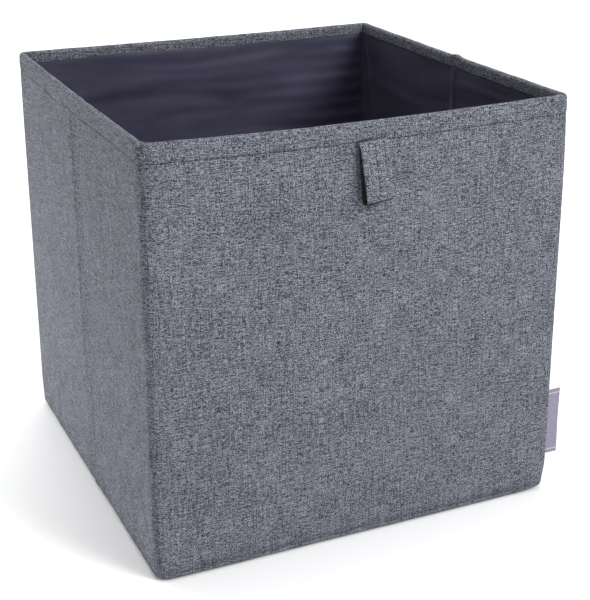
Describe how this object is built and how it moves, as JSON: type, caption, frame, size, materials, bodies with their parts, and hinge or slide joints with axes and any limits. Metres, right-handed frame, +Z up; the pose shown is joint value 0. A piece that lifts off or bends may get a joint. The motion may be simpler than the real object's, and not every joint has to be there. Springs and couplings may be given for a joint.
{
  "type": "fabric storage bin",
  "caption": "Square open-topped fabric storage bin with board-stiffened walls, a loose dark lining, a lift-out base and a front pull tab; the side walls crease so that it folds flat.",
  "frame": {"origin": "middle of the footprint on the floor, midway between the outer faces of the walls", "axes": "+Z up towards the open rim, -Y towards the front wall with the pull tab, +X to the right seen from the front"},
  "size_m": [0.3289, 0.3257, 0.315],
  "materials": {
    "outer_fabric": "grey heather plain weave with slubs, matt",
    "bottom_fabric": "grey heather plain weave, matt",
    "tab": "grey heather plain weave strap, matt",
    "lining": "dark satin-faced polyester, soft sheen",
    "grey_board": "plain recycled grey board",
    "outer_thread": "dark grey sewing thread",
    "lining_thread": "dark sewing thread",
    "label": "plain woven ribbon"
  },
  "bodies": {
    "front_wall": {"front_cover": "outer_fabric", "front_board": "grey_board", "front_lining": "lining", "front_rim_stitching": "outer_thread", "front_left_corner_seam": "lining_thread", "front_right_corner_seam": "lining_thread", "bottom_cover": "bottom_fabric", "bottom_lining": "lining"},
    "left_front_panel": {"left_front_cover": "outer_fabric", "left_front_board": "grey_board", "left_front_lining": "lining", "left_front_rim_stitching": "outer_thread", "left_crease_seam": "lining_thread"},
    "left_rear_panel": {"left_rear_cover": "outer_fabric", "left_rear_board": "grey_board", "left_rear_lining": "lining", "left_rear_rim_stitching": "outer_thread"},
    "back_wall": {"back_cover": "outer_fabric", "back_board": "grey_board", "back_lining": "lining", "back_rim_stitching": "outer_thread", "back_right_corner_seam": "lining_thread", "back_left_corner_seam": "lining_thread"},
    "right_front_panel": {"right_front_cover": "outer_fabric", "right_front_board": "grey_board", "right_front_lining": "lining", "right_front_rim_stitching": "outer_thread", "right_crease_seam": "lining_thread"},
    "right_rear_panel": {"right_rear_cover": "outer_fabric", "right_rear_board": "grey_board", "right_rear_lining": "lining", "right_rear_rim_stitching": "outer_thread"},
    "base_insert": {"base_insert_board": "grey_board", "base_insert_cover": "lining"},
    "pull_tab": {"pull_tab": "tab", "pull_tab_stitching": "outer_thread"},
    "side_label": {"side_label": "label"}
  },
  "joints": [
    {"name": "left_front_fold", "type": "hinge", "parent": "front_wall", "child": "left_front_panel", "pos_m": [-0.1546, -0.1536, 0], "axis": [0, 0, -1], "range_deg": [0, 90], "deforming": ["bottom_cover", "bottom_lining"]},
    {"name": "left_rear_fold", "type": "hinge", "parent": "left_front_panel", "child": "left_rear_panel", "pos_m": [-0.1604, 0, 0], "axis": [0, 0, 1], "range_deg": [0, 180]},
    {"name": "back_fold", "type": "hinge", "parent": "left_rear_panel", "child": "back_wall", "pos_m": [-0.1546, 0.1536, 0], "axis": [0, 0, -1], "range_deg": [0, 90]},
    {"name": "right_front_fold", "type": "hinge", "parent": "front_wall", "child": "right_front_panel", "pos_m": [0.1546, -0.1536, 0], "axis": [0, 0, 1], "range_deg": [0, 90]},
    {"name": "right_rear_fold", "type": "hinge", "parent": "right_front_panel", "child": "right_rear_panel", "pos_m": [0.1604, 0, 0], "axis": [0, 0, -1], "range_deg": [0, 180]},
    {"name": "base_lift", "type": "slide", "parent": "front_wall", "child": "base_insert", "axis": [0, 0, 1], "range_m": [0, 0.34]},
    {"name": "tab_swing", "type": "hinge", "parent": "front_wall", "child": "pull_tab", "pos_m": [0.0018, -0.1605, 0.30025], "axis": [-0.9962, 0, -0.0872], "range_deg": [0, 150]},
    {"name": "label_flap", "type": "hinge", "parent": "front_wall", "child": "side_label", "pos_m": [0.1607, -0.157, 0.0575], "axis": [0, 0, 1], "range_deg": [-90, 85]}
  ],
  "couplings": [
    {"joint": "left_rear_fold", "follows": "left_front_fold", "ratio": 2},
    {"joint": "back_fold", "follows": "left_front_fold", "ratio": 1},
    {"joint": "right_front_fold", "follows": "left_front_fold", "ratio": 1},
    {"joint": "right_rear_fold", "follows": "left_front_fold", "ratio": 2}
  ]
}
